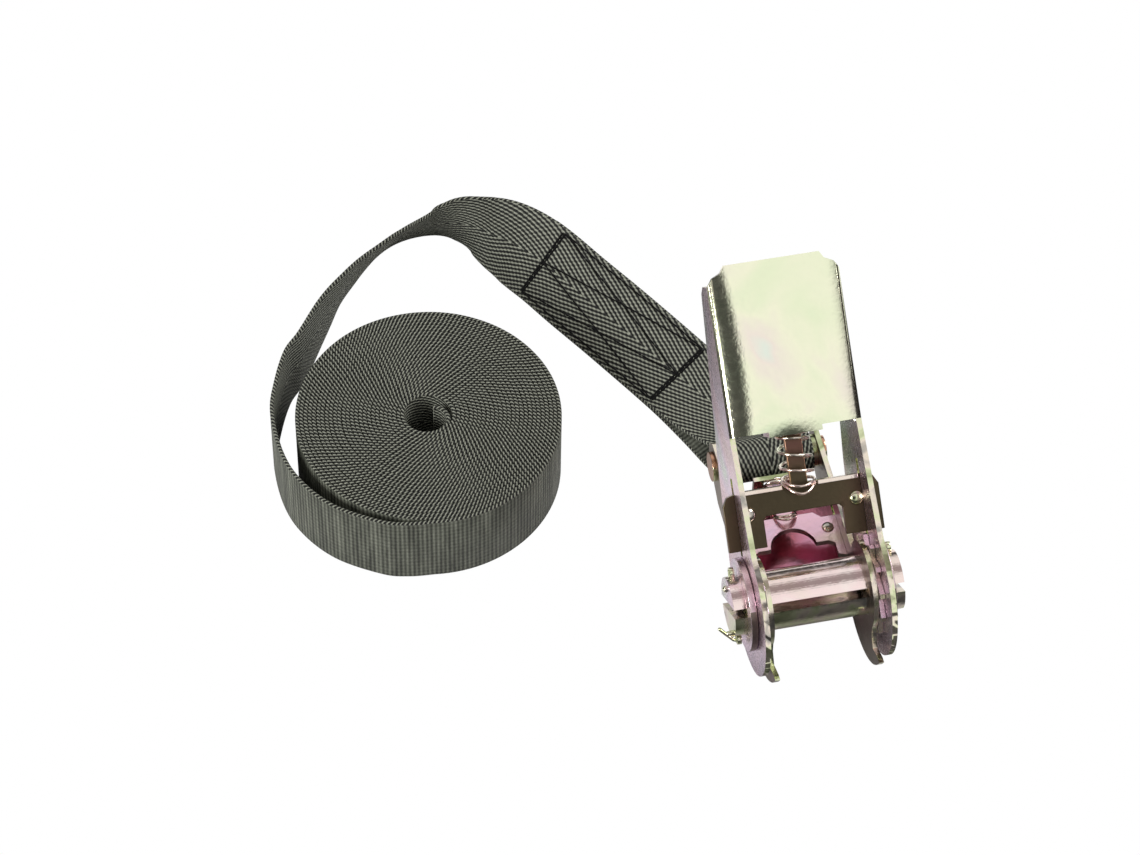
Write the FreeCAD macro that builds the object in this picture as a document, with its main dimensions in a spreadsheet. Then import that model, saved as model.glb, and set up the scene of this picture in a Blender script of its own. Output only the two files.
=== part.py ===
import FreeCAD, Part
import Sketcher
import math
import os

# A ratchet tie down of the endless type: a folded base, a folded handle, a split mandrel
# with two ratchet wheels, two sprung pawls, and 25 mm webbing sewn round a bolt and rolled up.
# Millimetres. The origin is on the mandrel axis in the middle of the ratchet, X runs along
# the mandrel, Y from the mandrel to the webbing bolt, Z up.

os.makedirs("parts", exist_ok=True)
doc = FreeCAD.newDocument("ratchet_tie_down")
dims = doc.addObject("Spreadsheet::Sheet", "dims")
sizes = {
    "channel_half": 14.0,
    "base_plate": 1.4,
    "axis_height": 22.5,
    "plate_gap": 0.15,
    "wheel_thick": 1.3,
    "side_room": 3.0,
    "handle_half": "=channel_half + side_room",
    "handle_plate": 1.5,
    "handle_tilt": 42.0,
    "grip_start": 46.5,
    "grip_end": 88.0,
    "grip_face": 8.5,
    "handle_disc": 20.3,
    "base_lobe": 22.5,
    "mandrel_r": 8.3,
    "mandrel_slot": 2.6,
    "mandrel_half_length": "=handle_half + 7",
    "pin_reach": "=mandrel_half_length - 1.8",
    "slot_tilt": -38.0,
    "bore_r": "=mandrel_r + 0.06",
    "crest_r": 14.3,
    "root_r": 11.6,
    "washer_r": 13.0,
    "washer_thick": 1.8,
    "bolt_y": 52.0,
    "bolt_z": -5.2,
    "bolt_r": 2.8,
    "bolt_head_r": 4.3,
    "bolt_head": 1.3,
    "spacer_r": 4.7,
    "web_top": -13.6,
    "web_thick": 1.4,
    "lock_seat_y": 43.4,
    "pawl_low": 0.8,
    "pawl_thick": 1.8,
    "lock_low": -7.5,
    "lock_thick": 1.9,
    "stem_width": 4.8,
    "webbing_width": 25.0,
    "webbing_thick": 1.1,
    "drive_coil_r": 4.4,
    "lock_coil_r": 3.2,
    "spring_wire": 0.8,
}
for row, (name, value) in enumerate(sizes.items(), start=1):
    dims.set("A%d" % row, name)
    dims.set("B%d" % row, str(value))
    dims.setAlias("B%d" % row, name)
doc.recompute()

V = FreeCAD.Vector


def size(name):
    return float(getattr(dims, name))


def amount(body, text):
    value = body.evalExpression(str(text))
    return float(getattr(value, "Value", value))


def named(text):
    words = str(text)
    for name in sorted(sizes, key=len, reverse=True):
        words = words.replace("$" + name, "dims." + name)
    return words


def new_body(label):
    body = doc.addObject("PartDesign::Body", label)
    body.Label = label
    return body


def plane_of(body, role):
    return [item for item in body.Origin.OriginFeatures if item.Role == role][0]


def new_sketch(body, role, offset):
    sketch = body.newObject("Sketcher::SketchObject", body.Name + "_sketch")
    sketch.AttachmentSupport = [(plane_of(body, role), "")]
    sketch.MapMode = "FlatFace"
    sketch.setExpression("AttachmentOffset.Base.z", named(offset))
    return sketch


def add_outline(body, sketch, points):
    """straight edges through the points"""
    texts = [(named(x), named(y)) for x, y in points]
    spots = [V(amount(body, x), amount(body, y), 0) for x, y in texts]
    first = sketch.GeometryCount
    count = len(spots)
    for index in range(count):
        sketch.addGeometry(Part.LineSegment(spots[index], spots[(index + 1) % count]), False)
    for index in range(count):
        after = first + (index + 1) % count
        sketch.addConstraint(Sketcher.Constraint("Coincident", first + index, 2, after, 1))
    for index, (x, y) in enumerate(texts):
        for kind, text, number in (("DistanceX", x, spots[index].x), ("DistanceY", y, spots[index].y)):
            rule = Sketcher.Constraint(kind, -1, 1, first + index, 1, number)
            place = sketch.addConstraint(rule)
            sketch.setExpression("Constraints[%d]" % place, text)


def add_circle(body, sketch, x, y, radius):
    texts = [named(x), named(y), named(radius)]
    numbers = [amount(body, text) for text in texts]
    spot = V(numbers[0], numbers[1], 0)
    index = sketch.addGeometry(Part.Circle(spot, V(0, 0, 1), numbers[2]), False)
    rules = [
        Sketcher.Constraint("DistanceX", -1, 1, index, 3, numbers[0]),
        Sketcher.Constraint("DistanceY", -1, 1, index, 3, numbers[1]),
        Sketcher.Constraint("Radius", index, numbers[2]),
    ]
    for rule, text in zip(rules, texts):
        place = sketch.addConstraint(rule)
        sketch.setExpression("Constraints[%d]" % place, text)


def shape_on(body, role, loops, offset="0"):
    sketch = new_sketch(body, role, offset)
    for loop in loops:
        if isinstance(loop, tuple):
            add_circle(body, sketch, *loop)
        else:
            add_outline(body, sketch, loop)
    return sketch


def pad(body, sketch, length, both=False):
    feature = body.newObject("PartDesign::Pad", body.Name + "_pad")
    feature.Profile = sketch
    feature.setExpression("Length", named(length))
    feature.Midplane = both
    body.Tip = feature
    doc.recompute()
    return feature


def pocket(body, sketch, length, both=True):
    feature = body.newObject("PartDesign::Pocket", body.Name + "_pocket")
    before = body.Shape.Volume
    feature.Profile = sketch
    feature.setExpression("Length", named(length))
    feature.Midplane = both
    body.Tip = feature
    doc.recompute()
    if body.Shape.Volume >= before:
        feature.Reversed = True
        doc.recompute()
    return feature


def box(y_low, y_high, z_low, z_high):
    return [(y_low, z_low), (y_high, z_low), (y_high, z_high), (y_low, z_high)]


def tilt(body, angle):
    body.Placement = FreeCAD.Placement(V(0, 0, 0), FreeCAD.Rotation(V(1, 0, 0), size(angle)))
    body.setExpression("Placement.Rotation.Angle", "dims." + angle)


outer_base = "2 * ($channel_half + $base_plate)"
inner_base = "2 * $channel_half"
outer_handle = "2 * ($handle_half + $handle_plate)"
inner_handle = "2 * $handle_half"
web_low = "$web_top - $web_thick"
through = 60

# base frame: lobe round the mandrel, side plates, web, spring seat
base = new_body("base_frame")
pad(base, shape_on(base, "YZ_Plane", [("0", "0", "$base_lobe")]), outer_base, True)
upper_front = [
    ("-40", "-8.6"),
    ("-19", "-8.6"),
    ("-14.4", "-10.6"),
    ("-12", "-7"),
    ("-10", "40"),
    ("-40", "40"),
]
pocket(base, shape_on(base, "YZ_Plane", [upper_front]), str(through))
pocket(base, shape_on(base, "YZ_Plane", [box("-12", "40", "0.4", "40")]), str(through))
pocket(base, shape_on(base, "YZ_Plane", [box("14", "40", "-40", "0.4")]), str(through))
side_plate = [
    ("8", "0.4"),
    ("10", web_low + " - 2.2"),
    ("16", web_low),
    ("46", web_low),
    ("$bolt_y + 3.5", "$bolt_z - 5"),
    ("$bolt_y + 3.5", "$bolt_z + 5.5"),
]
pad(base, shape_on(base, "YZ_Plane", [side_plate]), outer_base, True)
pad(base, shape_on(base, "YZ_Plane", [("0", "0", "12.5")]), outer_base, True)
pad(base, shape_on(base, "YZ_Plane", [("$bolt_y + 1.6", "$bolt_z + 0.3", "5.2")]), outer_base, True)
inside = [
    ("-40", "-40"),
    ("16", "-40"),
    ("16", "$web_top"),
    ("46", "$web_top"),
    ("46", "-40"),
    ("80", "-40"),
    ("80", "40"),
    ("-40", "40"),
]
pocket(base, shape_on(base, "YZ_Plane", [inside]), inner_base)
seat_box = box("$lock_seat_y", "$lock_seat_y + 1.4", "$web_top - 0.4", "-4")
pad(base, shape_on(base, "YZ_Plane", [seat_box]), "12", True)
stem_hole = box("-3.1", "3.1", "$lock_low - 0.5", "$lock_low + $lock_thick + 0.5")
pocket(base, shape_on(base, "XZ_Plane", [stem_hole], "-$lock_seat_y + 1"), "4", False)
pocket(base, shape_on(base, "YZ_Plane", [("0", "0", "$bore_r")]), str(through))
pocket(base, shape_on(base, "YZ_Plane", [("$bolt_y", "$bolt_z", "$bolt_r + 0.02")]), str(through))
slot = box("13.2", "34", "$lock_low - 0.2", "$lock_low + $lock_thick + 0.2")
pocket(base, shape_on(base, "YZ_Plane", [slot]), str(through))

# webbing bolt: a shank with a thin head on the left and a riveted end on the right
bolt = new_body("webbing_bolt")
shank = "2 * ($channel_half + $base_plate)"
pad(bolt, shape_on(bolt, "YZ_Plane", [("$bolt_y", "$bolt_z", "$bolt_r")]), shank, True)
left_face = "-$channel_half - $base_plate - $bolt_head"
head = shape_on(bolt, "YZ_Plane", [("$bolt_y", "$bolt_z", "$bolt_head_r")], left_face)
pad(bolt, head, "$bolt_head")
right_face = "$channel_half + $base_plate"
rivet = shape_on(bolt, "YZ_Plane", [("$bolt_y", "$bolt_z", "$bolt_head_r - 0.4")], right_face)
pad(bolt, rivet, "$bolt_head")

spacer = new_body("bolt_spacer")
rings = [("$bolt_y", "$bolt_z", "$spacer_r"), ("$bolt_y", "$bolt_z", "$bolt_r + 0.02")]
pad(spacer, shape_on(spacer, "YZ_Plane", rings), "2 * $channel_half", True)

# lock pawl: cross plate with two toothed legs and a stem through the spring seat
lock = new_body("lock_pawl")
lock_plan = [
    ("$channel_half + 2.85", "13.9"),
    ("$channel_half + 2.85", "29"),
    ("10", "29"),
    ("8", "31"),
    ("$stem_width / 2", "31"),
    ("$stem_width / 2", "$lock_seat_y + 0.2"),
    ("-$stem_width / 2", "$lock_seat_y + 0.2"),
    ("-$stem_width / 2", "31"),
    ("-8", "31"),
    ("-10", "29"),
    ("-$channel_half - 2.85", "29"),
    ("-$channel_half - 2.85", "13.9"),
    ("-11.6", "15.6"),
    ("-11.6", "19.5"),
    ("-10", "20.5"),
    ("10", "20.5"),
    ("11.6", "19.5"),
    ("11.6", "15.6"),
]
pad(lock, shape_on(lock, "XY_Plane", [lock_plan], "$lock_low"), "$lock_thick")
pocket(lock, shape_on(lock, "XY_Plane", [("0", "20", "6.5")], "$lock_low"), "10")
dimples = [("10.9", "25", "1.6"), ("-10.9", "25", "1.6")]
pocket(lock, shape_on(lock, "XY_Plane", dimples, "$lock_low + $lock_thick"), "0.7", False)

# handle frame in its own frame: Y along the handle, Z square to the grip
handle = new_body("handle_frame")
pad(handle, shape_on(handle, "YZ_Plane", [("0", "0", "$handle_disc")]), outer_handle, True)
flange = [
    ("2.65", "-20.1"),
    ("34", "-16"),
    ("$grip_end - 2", "-2.5"),
    ("$grip_end", "0.5"),
    ("$grip_end", "$grip_face"),
    ("$grip_start", "$grip_face"),
    ("8", "16.4"),
    ("0", "10"),
]
pad(handle, shape_on(handle, "YZ_Plane", [flange]), outer_handle, True)
grip_low = "$grip_face - $handle_plate"
hollow = [
    ("-40", "-40"),
    ("120", "-40"),
    ("120", grip_low),
    ("$grip_start", grip_low),
    ("$grip_start", "40"),
    ("-40", "40"),
]
pocket(handle, shape_on(handle, "YZ_Plane", [hollow]), inner_handle)
half_handle = "$handle_half + $handle_plate"
tongue = [
    (half_handle, "$grip_end - 0.5"),
    (half_handle, "$grip_end"),
    (half_handle + " - 1.5", "$grip_end + 2.2"),
    (half_handle + " - 4", "$grip_end + 3.4"),
    (half_handle + " - 5.2", "$grip_end + 5.3"),
    ("-" + half_handle.replace(" + ", " - ") + " + 5.2", "$grip_end + 5.3"),
    ("-" + half_handle.replace(" + ", " - ") + " + 4", "$grip_end + 3.4"),
    ("-" + half_handle.replace(" + ", " - ") + " + 1.5", "$grip_end + 2.2"),
    ("-" + half_handle.replace(" + ", " - "), "$grip_end"),
    ("-" + half_handle.replace(" + ", " - "), "$grip_end - 0.5"),
]
pad(handle, shape_on(handle, "XY_Plane", [tongue], grip_low), "$handle_plate")
tab = shape_on(handle, "YZ_Plane", [box("$grip_start - 1.5", "$grip_start", "-0.4", "$grip_face")])
pad(handle, tab, "15", True)
pocket(handle, shape_on(handle, "XZ_Plane", [box("-3.1", "3.1", "0.2", "3.2")], "-40"), "10", False)
pocket(handle, shape_on(handle, "YZ_Plane", [("0", "0", "$bore_r")]), str(through))
drive_slot = box("13.4", "35", "$pawl_low - 0.3", "$pawl_low + $pawl_thick + 0.3")
pocket(handle, shape_on(handle, "YZ_Plane", [drive_slot]), str(through))
tilt(handle, "handle_tilt")

# drive pawl, in the same tilted frame
drive = new_body("drive_pawl")
half_plan = [
    ("$channel_half + 8", "14.8"),
    ("$channel_half + 8", "27.5"),
    ("$channel_half + 6.6", "30"),
    ("$channel_half + 2.9", "31"),
    ("$stem_width / 2", "31"),
    ("$stem_width / 2", "50.5"),
    ("6", "51.5"),
    ("6", "60"),
    ("3.5", "63"),
]
half_front = [
    ("10.2", "23.4"),
    ("11.2", "22.4"),
    ("11.2", "14.8"),
]
right_side = [(x, y) for x, y in half_plan]
left_side = [("-(" + x + ")", y) for x, y in reversed(half_plan)]
left_front = [("-(" + x + ")", y) for x, y in reversed(half_front)]
drive_plan = right_side + left_side + left_front + half_front
pad(drive, shape_on(drive, "XY_Plane", [drive_plan], "$pawl_low"), "$pawl_thick")
lip = [("5", "29.8"), ("16.4", "29.8"), ("16.4", "31"), ("5", "31")]
other_lip = [("-" + x, y) for x, y in reversed(lip)]
pad(drive, shape_on(drive, "XY_Plane", [lip, other_lip], "$pawl_low + $pawl_thick"), "0.8")
dimples = [("15.3", "24.4", "1.9"), ("-15.3", "24.4", "1.9")]
pocket(drive, shape_on(drive, "XY_Plane", dimples, "$pawl_low + $pawl_thick"), "0.7", False)
tilt(drive, "handle_tilt")

# mandrel: two bars, each half of a round, with the webbing slot between them
for name, side in (("mandrel_half_upper", 1), ("mandrel_half_lower", -1)):
    bar = new_body(name)
    pad(bar, shape_on(bar, "YZ_Plane", [("0", "0", "$mandrel_r")]), "2 * $mandrel_half_length", True)
    edge = "%d * $mandrel_slot / 2" % side
    away = "%d" % (-20 * side)
    cut = [("-20", edge), ("-20", away), ("20", away), ("20", edge)]
    pocket(bar, shape_on(bar, "YZ_Plane", [cut]), str(through))
    holes = [("$pin_reach", "0", "0.95"), ("-$pin_reach", "0", "0.95")]
    pocket(bar, shape_on(bar, "XY_Plane", holes), "30")
    tilt(bar, "slot_tilt")

# ratchet wheels: twelve sloping teeth
teeth = 12
wheel_start = "$channel_half + $base_plate + $plate_gap"
for name, offset in (
    ("ratchet_wheel_left", "-(" + wheel_start + ") - $wheel_thick"),
    ("ratchet_wheel_right", wheel_start),
):
    wheel = new_body(name)
    outline = []
    for tooth in range(teeth):
        for share, radius in ((0.0, "$root_r"), (0.62, "$crest_r"), (0.80, "$crest_r")):
            turn = 360.0 * (tooth + share) / teeth
            outline.append(("%s * cos(%.2f)" % (radius, turn), "%s * sin(%.2f)" % (radius, turn)))
    sketch = shape_on(wheel, "YZ_Plane", [outline, ("0", "0", "$mandrel_r + 0.03")], offset)
    pad(wheel, sketch, "$wheel_thick")

# washers outside the handle plates
washer_start = "$handle_half + $handle_plate + 0.2"
for name, offset in (
    ("retaining_washer_left", "-(" + washer_start + ") - $washer_thick"),
    ("retaining_washer_right", washer_start),
):
    washer = new_body(name)
    rings = [("0", "0", "$washer_r"), ("0", "0", "$mandrel_r + 0.03")]
    pad(washer, shape_on(washer, "YZ_Plane", rings, offset), "$washer_thick")

# split pins: an eye outside the bar, two legs through it
pin_r = 0.9
for name, side, up in (
    ("cotter_pin_left_upper", -1, 1),
    ("cotter_pin_right_upper", 1, 1),
    ("cotter_pin_left_lower", -1, -1),
    ("cotter_pin_right_lower", 1, -1),
):
    pin = new_body(name)
    low = "%.2f" % (1.4 if up > 0 else -10.4)
    pad(pin, shape_on(pin, "XY_Plane", [("%d * $pin_reach" % side, "0", str(pin_r))], low), "9.0")
    eye = [("0", "%.1f" % (9.6 * up), "1.5")]
    pad(pin, shape_on(pin, "YZ_Plane", eye, "%d * $pin_reach - 0.6" % side), "1.2")
    tilt(pin, "slot_tilt")


def feature_of(label, shape):
    item = doc.addObject("Part::Feature", label)
    item.Label = label
    item.Shape = shape
    return item


def arc_between(start, heading, end):
    chord = end - start
    reach = chord.Length
    along = chord * (1.0 / reach)
    side = heading - along * heading.dot(along)
    if side.Length < 1e-6:
        return Part.LineSegment(start, end), V(heading)
    side.normalize()
    angle = math.acos(max(-1.0, min(1.0, heading.dot(along))))
    middle = (start + end) * 0.5 + side * (reach / 2 * math.tan(angle / 2))
    leaving = along * (2 * heading.dot(along)) - heading
    return Part.Arc(start, middle, end), leaving


def biarcs(spots, headings):
    edges = []
    for index in range(len(spots) - 1):
        start, end = spots[index], spots[index + 1]
        out, into = headings[index], headings[index + 1]
        chord = end - start
        both = out + into
        a = 2 * (1 - out.dot(into))
        b = 2 * chord.dot(both)
        c = -chord.dot(chord)
        if abs(a) < 1e-9:
            reach = -c / b
        else:
            reach = (-b + math.sqrt(b * b - 4 * a * c)) / (2 * a)
        joint = (start + out * reach + end - into * reach) * 0.5
        first, heading = arc_between(start, out, joint)
        second, heading = arc_between(joint, heading, end)
        edges += [first.toShape(), second.toShape()]
    return edges


def coil_spring(radius, wire, low, high, curls):
    """a compression spring along Z: closed end curls, then a straight end against each seat"""
    bend = 1.3
    spots = [V(radius, 0, low), V(radius, 0, low + wire)]
    headings = [V(0, 0, 1), V(0, 0, 1)]
    bottom = low + wire + bend
    top = high - wire - bend
    steps = 4 * curls
    for step in range(1, steps):
        turn = math.pi / 2 * step
        height = bottom + (top - bottom) * (step - 1) / (steps - 2)
        rise = (top - bottom) / (steps - 2)
        run = radius * math.pi / 2
        spots.append(V(radius * math.cos(turn), radius * math.sin(turn), height))
        heading = V(-math.sin(turn) * run, math.cos(turn) * run, rise)
        headings.append(heading.normalize())
    spots += [V(radius, 0, high - wire), V(radius, 0, high)]
    headings += [V(0, 0, 1), V(0, 0, 1)]
    edges = [Part.LineSegment(spots[0], spots[1]).toShape()]
    edges += biarcs(spots[1:-1], headings[1:-1])
    edges.append(Part.LineSegment(spots[-2], spots[-1]).toShape())
    path = Part.Wire(edges)
    ring = Part.Wire([Part.makeCircle(wire / 2, spots[0], V(0, 0, 1))])
    return path.makePipeShell([ring], True, False)


def along_y(shape, height, angle):
    shape.rotate(V(0, 0, 0), V(1, 0, 0), -90)
    shape.translate(V(0, 0, height))
    shape.rotate(V(0, 0, 0), V(1, 0, 0), angle)
    return shape


drive_mid = size("pawl_low") + size("pawl_thick") / 2
lock_mid = size("lock_low") + size("lock_thick") / 2
drive_spring = coil_spring(size("drive_coil_r"), size("spring_wire"), 31.04, size("grip_start") - 1.54, 5)
feature_of("drive_pawl_spring", along_y(drive_spring, drive_mid, size("handle_tilt")))
lock_spring = coil_spring(size("lock_coil_r"), size("spring_wire"), 31.04, size("lock_seat_y") - 0.04, 6)
feature_of("lock_pawl_spring", along_y(lock_spring, lock_mid, 0))

# webbing: the roll is one band, in half turns about two centres a half pitch apart
width = size("webbing_width")
thick = size("webbing_thick")
floor = -size("axis_height")
roll_x, roll_y = -92.7, 80.8
roll_turns = 24
roll_pitch = 1.335
roll_band = 0.88
roll_first = 6.2
start_angle = math.radians(262.0)
toward = V(math.cos(start_angle), math.sin(start_angle), 0)
across = V(toward.y, -toward.x, 0)
centre = V(roll_x, roll_y, floor)


def roll_arcs(side):
    arcs = []
    for half in range(2 * roll_turns):
        shift = toward * (roll_pitch / 4 * (1 if half % 2 else -1))
        middle = centre + shift
        radius = roll_first + roll_pitch / 2 * half + side * roll_band / 2
        sign = 1 if half % 2 == 0 else -1
        start = middle + toward * (radius * sign)
        bulge = middle + across * (radius * sign)
        end = middle - toward * (radius * sign)
        arcs.append((start, bulge, end))
    return arcs


outer_arcs = roll_arcs(1)
inner_arcs = roll_arcs(-1)
edges = [Part.Arc(*arc).toShape() for arc in outer_arcs]
edges.append(Part.LineSegment(outer_arcs[-1][2], inner_arcs[-1][2]).toShape())
edges += [Part.Arc(arc[2], arc[1], arc[0]).toShape() for arc in reversed(inner_arcs)]
edges.append(Part.LineSegment(inner_arcs[0][0], outer_arcs[0][0]).toShape())
roll_face = Part.Face(Part.Wire(edges))
feature_of("webbing_roll", roll_face.extrude(V(0, 0, width)))

least = 99.0
for half in range(2 * roll_turns - 2):
    for outer, inner in zip(outer_arcs[half], inner_arcs[half + 2]):
        least = min(least, (outer - inner).Length)
rolled = sum(math.pi * (roll_first + roll_pitch / 2 * half) for half in range(2 * roll_turns))
print("least gap between turns of the roll %.3f mm" % least)
print("rolled length %.2f m" % (rolled / 1000))

# free run: places of the centre line, and the way the width points from lower to upper edge
up = V(0, 0, 1)
last_r = roll_first + roll_pitch / 2 * (2 * roll_turns - 1) + roll_pitch / 4
places = []
for degrees, radius in (
    (273, last_r - 0.9),
    (261.8, last_r),
    (251, 38.9),
    (240, 39.8),
    (220, 41.3),
    (202, 42.5),
    (186, 43.1),
    (167, 44.2),
    (153, 45.1),
    (139, 47.2),
    (129, 48.3),
):
    angle = math.radians(degrees)
    x = roll_x + radius * math.cos(angle)
    y = roll_y + radius * math.sin(angle)
    places.append((V(x, y, floor + width / 2 + 0.02), up))
# standing on its lower edge, leaning towards the roll
for x, y, lean_x, lean_y in (
    (-115.6, 129.8, 0.0, -0.10),
    (-109.4, 138.0, 0.09, -0.20),
    (-103.9, 144.8, 0.19, -0.25),
    (-97.3, 152.0, 0.26, -0.22),
    (-91.1, 158.1, 0.29, -0.27),
    (-84.6, 162.3, 0.27, -0.33),
    (-76.6, 163.7, 0.20, -0.35),
    (-71.1, 161.1, 0.20, -0.20),
    (-65.8, 157.4, 0.22, 0.02),
    (-60.4, 154.1, 0.32, 0.20),
):
    lean_z = math.sqrt(1 - lean_x ** 2 - lean_y ** 2)
    height = width / 2 * lean_z + thick / 2 * math.sqrt(1 - lean_z ** 2) + 0.02
    places.append((V(x, y, floor + height), V(lean_x, lean_y, lean_z)))
# turning flat, then rising to the bolt
for x, y, height, lean_x, lean_y, lean_z in (
    (-53.4, 148.4, 12.6, 0.58, 0.30, 0.76),
    (-46.6, 139.4, 12.7, 0.756, 0.448, 0.475),
    (-39.3, 127.2, 12.6, 0.79, 0.42, 0.44),
    (-31.6, 114.6, 12.5, 0.82, 0.38, 0.41),
    (-24.2, 102.2, 12.3, 0.86, 0.34, 0.37),
    (-17.2, 90.3, 12.2, 0.90, 0.29, 0.31),
    (-10.8, 79.0, 12.8, 0.95, 0.24, 0.18),
    (-5.2, 69.0, 14.4, 0.99, 0.12, 0.06),
    (-1.0, 60.6, 17.4, 1.0, 0.02, 0.01),
):
    places.append((V(x, y, floor + height), V(lean_x, lean_y, lean_z)))

# the webbing meets the bolt from above, goes round it and comes back beneath itself
eye_y, eye_z = size("bolt_y"), size("bolt_z")
eye_r = size("spacer_r") + 0.14 + thick / 2
eye_side = V(1, 0, 0)
meets, leaves = 55.0, 286.0


def round_eye(degrees):
    """place, width direction and outer face on the way round the bolt"""
    angle = math.radians(degrees)
    outward = V(0, math.cos(angle), math.sin(angle))
    return V(0, eye_y, eye_z) + outward * eye_r, eye_side, outward


sewn_from = len(places) - 8
sewn_to = len(places) - 4
places.append((round_eye(meets)[0], eye_side))
places.append((round_eye(meets + 45)[0], eye_side))
between = 3


def eased(four, share):
    """a smooth curve through the middle two of four vectors, and its direction"""
    a, b, c, d = four
    bend = a * 2 - b * 5 + c * 4 - d
    turn = b * 3 - a - c * 3 + d
    spot = (b * 2 + (c - a) * share + bend * share ** 2 + turn * share ** 3) * 0.5
    heading = ((c - a) + bend * (2 * share) + turn * (3 * share ** 2)) * 0.5
    return spot, heading


def frames_through(items):
    """position, width direction and upper face at each step along the webbing"""
    frames = []
    for index in range(1, len(items) - 2):
        near = items[index - 1:index + 3]
        ends = between + 1 if index == len(items) - 3 else between
        for step in range(ends):
            spot, heading = eased([item[0] for item in near], step / between)
            lean = eased([item[1] for item in near], step / between)[0]
            face = heading.cross(lean).normalize()
            side = face.cross(heading).normalize()
            lowest = spot.z - width / 2 * side.z - thick / 2 * abs(face.z)
            spot += V(0, 0, max(0.0, floor + 0.02 - lowest))
            frames.append((spot, side, face))
    return frames


def section(frame, low, high, start=None, end=None):
    spot, side, face = frame
    start = -width / 2 if start is None else start
    end = width / 2 if end is None else end
    corners = [
        spot + side * start + face * low,
        spot + side * end + face * low,
        spot + side * end + face * high,
        spot + side * start + face * high,
    ]
    return Part.makePolygon(corners + [corners[0]])


run = frames_through(places)
run[-1] = round_eye(meets)
feature_of("webbing_run", Part.makeLoft([section(frame, -thick / 2, thick / 2) for frame in run], True, True))

rings = []
for step in range(12):
    turned = round_eye(meets + (leaves - meets) * step / 11)
    rings.append(section(turned, -thick / 2, thick / 2))
drop = thick / 2 + 0.05
for place in range((len(places) - 4) * between - 2, (sewn_from - 1) * between - 1, -1):
    rings.append(section(run[place], -drop, -drop - thick))
feature_of("webbing_loop", Part.makeLoft(rings, True, True))

# box stitch: two heavy cross rows, side rows, and a diagonal from each corner to the far row
thread = 0.35
sewn = 10.6


def thread_row(start, end, breadth):
    """a raised row of thread on the webbing, from one place and offset to another"""
    wires = []
    steps = max(1, round(end[0] - start[0]))
    for step in range(steps + 1):
        share = step / steps
        place = start[0] * (1 - share) + end[0] * share
        offset = start[1] * (1 - share) + end[1] * share
        index = min(int(place), len(run) - 2)
        part = place - index
        mixed = [run[index][k] * (1 - part) + run[index + 1][k] * part for k in range(3)]
        low = thick / 2 + 0.05
        wires.append(section(mixed, low, low + thread, offset - breadth / 2, offset + breadth / 2))
    return Part.makeLoft(wires, True, True)


first, last = (sewn_from - 1) * between + 1, (sewn_to - 1) * between + 1
inner = sewn - 1.3
rows = [
    thread_row((first, 0), (first + 0.3, 0), 2 * sewn + 0.9),
    thread_row((last - 0.3, 0), (last, 0), 2 * sewn + 0.9),
    thread_row((first + 0.4, sewn), (last - 0.4, sewn), 0.9),
    thread_row((first + 0.4, -sewn), (last - 0.4, -sewn), 0.9),
    thread_row((first + 0.4, inner), (last - 0.4, 0.7), 0.9),
    thread_row((first + 0.4, -inner), (last - 0.4, -0.7), 0.9),
]
feature_of("stitch_box", Part.makeCompound(rows))

doc.recompute()

# every piece is checked, then written
for item in doc.Objects:
    if "Invalid" in item.State or "Error" in item.State:
        raise RuntimeError("not sound: " + item.Label)
pieces = [item for item in doc.Objects if item.isDerivedFrom("PartDesign::Body") or item.TypeId == "Part::Feature"]
for item in pieces:
    if item.Shape.isNull() or not item.Shape.isValid():
        raise RuntimeError("bad shape: " + item.Label)
    item.Shape.exportStep("parts/" + item.Label + ".step")
    edge = item.Shape.BoundBox
    print("%s solids %d volume %.0f z %.2f..%.2f" % (
        item.Label, len(item.Shape.Solids), item.Shape.Volume, edge.ZMin, edge.ZMax))
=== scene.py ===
import bmesh
import bpy
import math
from mathutils import Matrix, Vector, noise


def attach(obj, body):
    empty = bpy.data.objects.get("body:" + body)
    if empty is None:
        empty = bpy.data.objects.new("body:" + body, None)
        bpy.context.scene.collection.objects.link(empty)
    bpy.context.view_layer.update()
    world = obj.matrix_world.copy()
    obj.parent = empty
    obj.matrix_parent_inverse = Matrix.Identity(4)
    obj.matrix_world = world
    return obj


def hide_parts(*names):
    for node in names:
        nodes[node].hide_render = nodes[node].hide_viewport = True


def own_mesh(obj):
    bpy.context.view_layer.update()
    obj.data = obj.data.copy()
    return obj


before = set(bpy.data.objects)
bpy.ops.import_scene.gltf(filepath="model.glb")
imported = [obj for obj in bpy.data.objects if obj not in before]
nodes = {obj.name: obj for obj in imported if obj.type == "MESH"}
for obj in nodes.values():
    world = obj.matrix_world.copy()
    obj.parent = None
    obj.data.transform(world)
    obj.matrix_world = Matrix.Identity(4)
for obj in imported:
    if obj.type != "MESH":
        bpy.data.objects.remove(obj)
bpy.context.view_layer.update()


print("stage: frame loaded")

millimetre = 0.001
floorLevel = -22.5
handleTilt = 42.0


def point(x, y, z):
    return Vector((x, y, z)) * millimetre


# materials

def newMaterial(name):
    material = bpy.data.materials.new(name)
    material.use_nodes = True
    tree = material.node_tree
    tree.nodes.clear()
    output = tree.nodes.new("ShaderNodeOutputMaterial")
    shader = tree.nodes.new("ShaderNodeBsdfPrincipled")
    tree.links.new(shader.outputs[0], output.inputs[0])
    return material, tree, shader


def addNode(tree, kind, values=None, **settings):
    node = tree.nodes.new(kind)
    for key, value in settings.items():
        setattr(node, key, value)
    for key, value in (values or {}).items():
        node.inputs[key].default_value = value
    return node


def mathNode(tree, operation, first, second=None, third=None, clamp=False):
    node = addNode(tree, "ShaderNodeMath", operation=operation, use_clamp=clamp)
    for index, item in enumerate((first, second, third)):
        if item is None:
            continue
        if isinstance(item, (int, float)):
            node.inputs[index].default_value = item
        else:
            tree.links.new(item, node.inputs[index])
    return node.outputs[0]


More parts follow.
